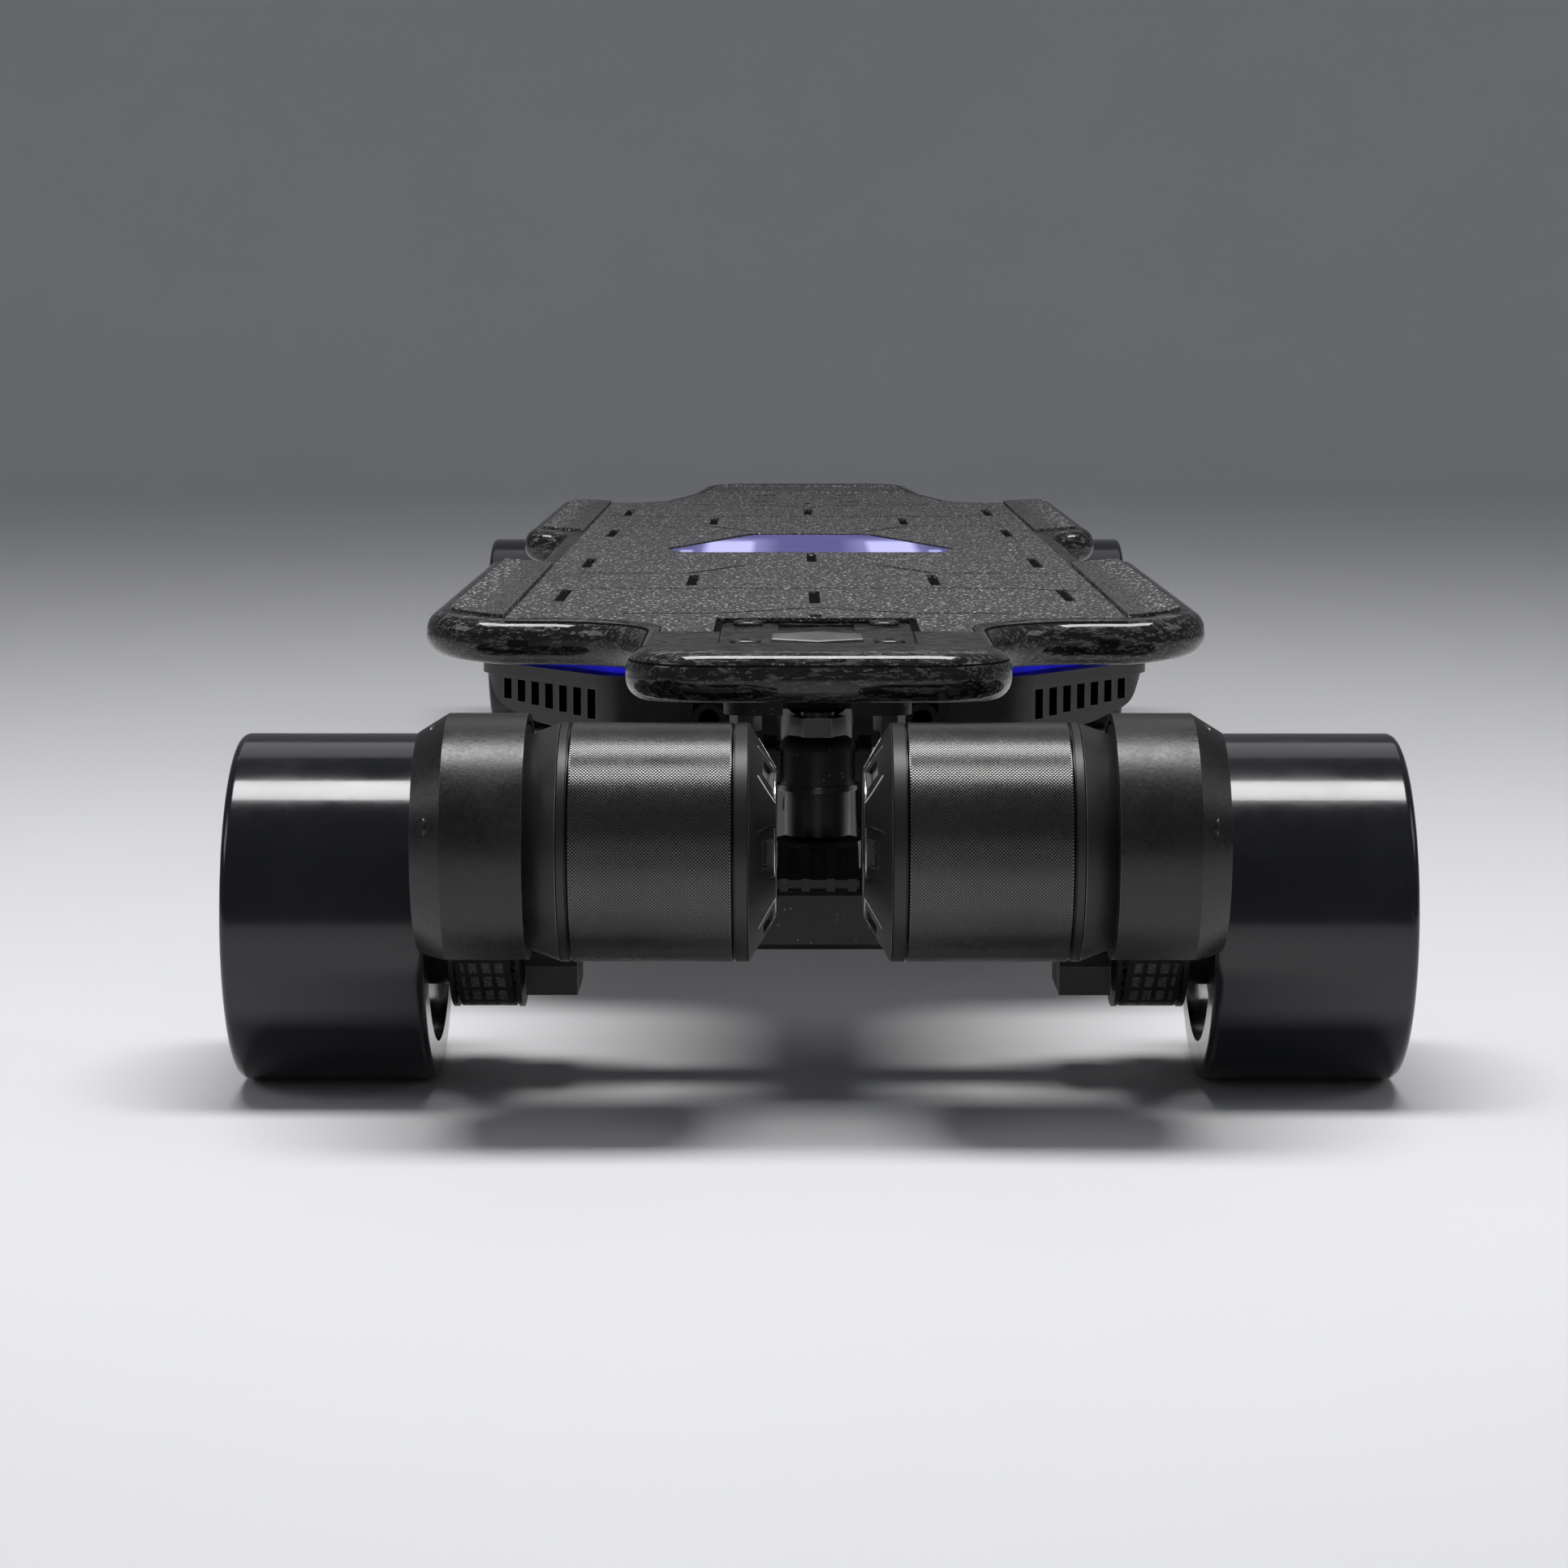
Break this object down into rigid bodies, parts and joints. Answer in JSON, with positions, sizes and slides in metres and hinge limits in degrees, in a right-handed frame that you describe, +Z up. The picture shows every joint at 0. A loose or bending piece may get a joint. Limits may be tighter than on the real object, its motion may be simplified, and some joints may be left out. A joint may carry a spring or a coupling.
{
  "type": "electric skateboard",
  "caption": "Four-wheel electric skateboard with belt drive to both rear wheels, carving double-kingpin trucks, gritted deck and underslung battery tray.",
  "frame": {"origin": "on the ground, under the centre of the whole board's box", "axes": "+Y towards the nose, +X to the rider's right when facing the nose, +Z up"},
  "size_m": [0.323, 1.0295, 0.1241],
  "materials": {
    "forged_carbon": "clear-coated chopped carbon, glossy",
    "grip_grit": "coarse grit sheet",
    "badge_metal": "satin brushed",
    "lens": "frosted light window",
    "circuit_board": "solder mask",
    "fastener_steel": "zinc plated",
    "enclosure_plastic": "grained moulded plastic",
    "seal_rubber": "matt rubber",
    "light_strip": "translucent strip, lit blue",
    "cell_wrap": "shrink wrapped cells",
    "electronics": "anodised heat sink and boards",
    "button_metal": "brushed",
    "port_plastic": "moulded",
    "cap_rubber": "soft moulded rubber",
    "truck_metal": "black speckled powder coat",
    "kingpin_steel": "black zinc",
    "bushing_urethane": "cast urethane",
    "axle_steel": "ground steel",
    "tyre_urethane": "smooth cast urethane",
    "core_plastic": "glass-filled nylon",
    "bearing_steel": "ground steel",
    "can_metal": "knurled and anodised",
    "cap_metal": "black anodised",
    "rotor_steel": "machined steel",
    "pulley_metal": "black anodised",
    "belt_rubber": "toothed rubber belt",
    "cover_plastic": "satin moulded plastic",
    "mount_metal": "black anodised",
    "stator_steel": "laminations"
  },
  "bodies": {
    "deck": {"deck_top_shell": "forged_carbon", "deck_bottom_shell": "forged_carbon", "grip_centre": "grip_grit", "grip_wings": "grip_grit", "tail_badge": "badge_metal", "led_lens": "lens", "led_board": "circuit_board", "truck_bolts": "fastener_steel", "enclosure_tray": "enclosure_plastic", "enclosure_gasket": "seal_rubber", "enclosure_screws": "fastener_steel", "underglow_strips": "light_strip", "battery_pack": "cell_wrap", "electronics": "electronics", "charge_port": "port_plastic", "motor_glands": "port_plastic", "riser_pads": "seal_rubber", "base_kingpins": "kingpin_steel", "base_bushings": "bushing_urethane", "rear_baseplate": "truck_metal", "front_baseplate": "truck_metal"},
    "power_button": {"power_button": "button_metal"},
    "charge_cover": {"charge_cover": "cap_rubber"},
    "rear_link": {"rear_link": "truck_metal", "rear_link_kingpin": "kingpin_steel", "rear_link_bushings": "bushing_urethane"},
    "rear_hanger": {"rear_hanger": "truck_metal", "rear_axle": "axle_steel", "left_motor_mount": "mount_metal", "left_motor_sleeve": "can_metal", "left_motor_caps": "cap_metal", "left_belt": "belt_rubber", "left_belt_cover": "cover_plastic", "right_motor_mount": "mount_metal", "right_motor_sleeve": "can_metal", "right_motor_caps": "cap_metal", "right_belt": "belt_rubber", "right_belt_cover": "cover_plastic", "motor_stators": "stator_steel"},
    "rear_left_wheel": {"rear_left_tyre": "tyre_urethane", "rear_left_core": "core_plastic", "rear_left_bearings": "bearing_steel", "left_wheel_pulley": "pulley_metal"},
    "rear_right_wheel": {"rear_right_tyre": "tyre_urethane", "rear_right_core": "core_plastic", "rear_right_bearings": "bearing_steel", "right_wheel_pulley": "pulley_metal"},
    "front_link": {"front_link": "truck_metal", "front_link_kingpin": "kingpin_steel", "front_link_bushings": "bushing_urethane"},
    "front_hanger": {"front_hanger": "truck_metal", "front_axle": "axle_steel"},
    "front_left_wheel": {"front_left_tyre": "tyre_urethane", "front_left_core": "core_plastic", "front_left_bearings": "bearing_steel"},
    "front_right_wheel": {"front_right_tyre": "tyre_urethane", "front_right_core": "core_plastic", "front_right_bearings": "bearing_steel"},
    "left_rotor": {"left_motor_rotor": "rotor_steel"},
    "right_rotor": {"right_motor_rotor": "rotor_steel"}
  },
  "joints": [
    {"name": "rear_link_pivot", "type": "hinge", "parent": "deck", "child": "rear_link", "pos_m": [0, -0.32775, 0.078], "axis": [0, -0.766, 0.6428], "range_deg": [-5, 5], "stiffness_Nm_per_rad": 60},
    {"name": "rear_hanger_pivot", "type": "hinge", "parent": "rear_link", "child": "rear_hanger", "pos_m": [0, -0.39075, 0.0595], "axis": [0, -0.866, 0.5], "range_deg": [-5, 5], "stiffness_Nm_per_rad": 60},
    {"name": "rear_left_wheel_spin", "type": "hinge", "parent": "rear_hanger", "child": "rear_left_wheel", "pos_m": [0, -0.41775, 0.0485], "axis": [1, 0, 0], "continuous": true},
    {"name": "rear_right_wheel_spin", "type": "hinge", "parent": "rear_hanger", "child": "rear_right_wheel", "pos_m": [0, -0.41775, 0.0485], "axis": [1, 0, 0], "continuous": true},
    {"name": "front_link_pivot", "type": "hinge", "parent": "deck", "child": "front_link", "pos_m": [0, 0.37625, 0.078], "axis": [0, -0.766, -0.6428], "range_deg": [-5, 5], "stiffness_Nm_per_rad": 60},
    {"name": "front_hanger_pivot", "type": "hinge", "parent": "front_link", "child": "front_hanger", "pos_m": [0, 0.43925, 0.0595], "axis": [0, -0.866, -0.5], "range_deg": [-5, 5], "stiffness_Nm_per_rad": 60},
    {"name": "front_left_wheel_spin", "type": "hinge", "parent": "front_hanger", "child": "front_left_wheel", "pos_m": [0, 0.46625, 0.0485], "axis": [1, 0, 0], "continuous": true},
    {"name": "front_right_wheel_spin", "type": "hinge", "parent": "front_hanger", "child": "front_right_wheel", "pos_m": [0, 0.46625, 0.0485], "axis": [1, 0, 0], "continuous": true},
    {"name": "left_rotor_spin", "type": "hinge", "parent": "rear_hanger", "child": "left_rotor", "pos_m": [0, -0.48075, 0.0757], "axis": [1, 0, 0], "continuous": true},
    {"name": "right_rotor_spin", "type": "hinge", "parent": "rear_hanger", "child": "right_rotor", "pos_m": [0, -0.48075, 0.0757], "axis": [1, 0, 0], "continuous": true},
    {"name": "power_button_press", "type": "slide", "parent": "deck", "child": "power_button", "axis": [0, -1, 0], "range_m": [0, 0.0012], "stiffness_N_per_m": 1500},
    {"name": "charge_cover_hinge", "type": "hinge", "parent": "deck", "child": "charge_cover", "pos_m": [0.046, 0.34215, 0.0953], "axis": [1, 0, 0], "range_deg": [0, 95]}
  ],
  "couplings": [
    {"joint": "left_rotor_spin", "follows": "rear_left_wheel_spin", "ratio": 2.125},
    {"joint": "right_rotor_spin", "follows": "rear_right_wheel_spin", "ratio": 2.125}
  ]
}
